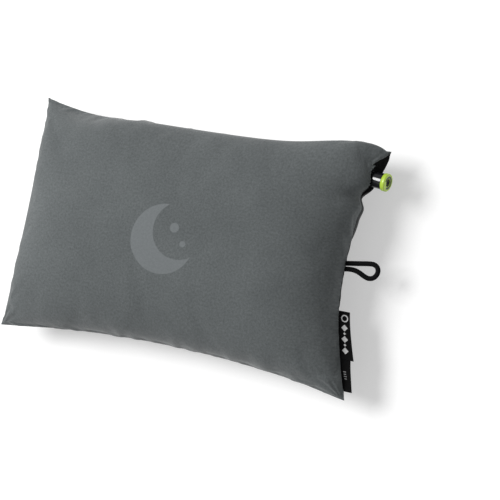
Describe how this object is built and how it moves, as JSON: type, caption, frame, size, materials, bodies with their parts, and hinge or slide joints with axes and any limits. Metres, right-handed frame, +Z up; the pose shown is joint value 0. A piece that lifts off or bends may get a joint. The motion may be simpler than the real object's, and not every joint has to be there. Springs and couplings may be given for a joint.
{
  "type": "inflatable camp pillow",
  "caption": "Inflatable camp pillow with a soft foam-topped face, pulled-in sides, a twist valve in one end seam, a cord loop and woven side labels.",
  "frame": {"origin": "middle of the flat patch on the underside that the pillow rests on", "axes": "+X along the pillow towards the valve end, +Y across it towards the valve's side, +Z up out of the soft face"},
  "size_m": [0.4399, 0.27, 0.1001],
  "materials": {
    "face_fabric": "brushed knit, matt, with a light nap",
    "back_fabric": "plain woven black polyester, matt",
    "woven_tape": "black woven damask tape, low sheen",
    "braided_cord": "black braided nylon cord",
    "comfort_foam": "open-cell polyurethane foam, matt",
    "bladder_film": "TPU-coated woven nylon, satin",
    "soft_plastic": "moulded TPU, satin",
    "valve_black": "polished black moulded plastic",
    "valve_lime": "lime green moulded plastic, semi-gloss",
    "seal_rubber": "black silicone rubber, satin"
  },
  "bodies": {
    "pillow": {"cover_front": "face_fabric", "cover_back_upper": "back_fabric", "cover_back_lower": "back_fabric", "valve_pocket": "back_fabric", "side_label": "woven_tape", "size_tag": "woven_tape", "cord_loop": "braided_cord", "foam_topper": "comfort_foam", "bladder_front": "bladder_film", "bladder_back": "bladder_film", "baffle_1": "bladder_film", "baffle_2": "bladder_film", "baffle_3": "bladder_film", "valve_boat": "soft_plastic", "valve_stem": "valve_black", "valve_pin": "valve_black", "pin_seal": "seal_rubber"},
    "valve_slide": {"sleeve_seal": "seal_rubber"},
    "valve_twist": {"valve_sleeve": "valve_black", "valve_cap": "valve_lime"}
  },
  "joints": [
    {"name": "sleeve_lift", "type": "slide", "parent": "pillow", "child": "valve_slide", "axis": [0.9803, -0.1204, 0.1564], "range_m": [0, 0.005]},
    {"name": "sleeve_twist", "type": "hinge", "parent": "valve_slide", "child": "valve_twist", "pos_m": [0.19646, 0.103, 0.043], "axis": [0.9803, -0.1204, 0.1564], "range_deg": [0, 270]}
  ],
  "couplings": [
    {"joint": "sleeve_twist", "follows": "sleeve_lift", "rad_per_m": 942.48}
  ]
}
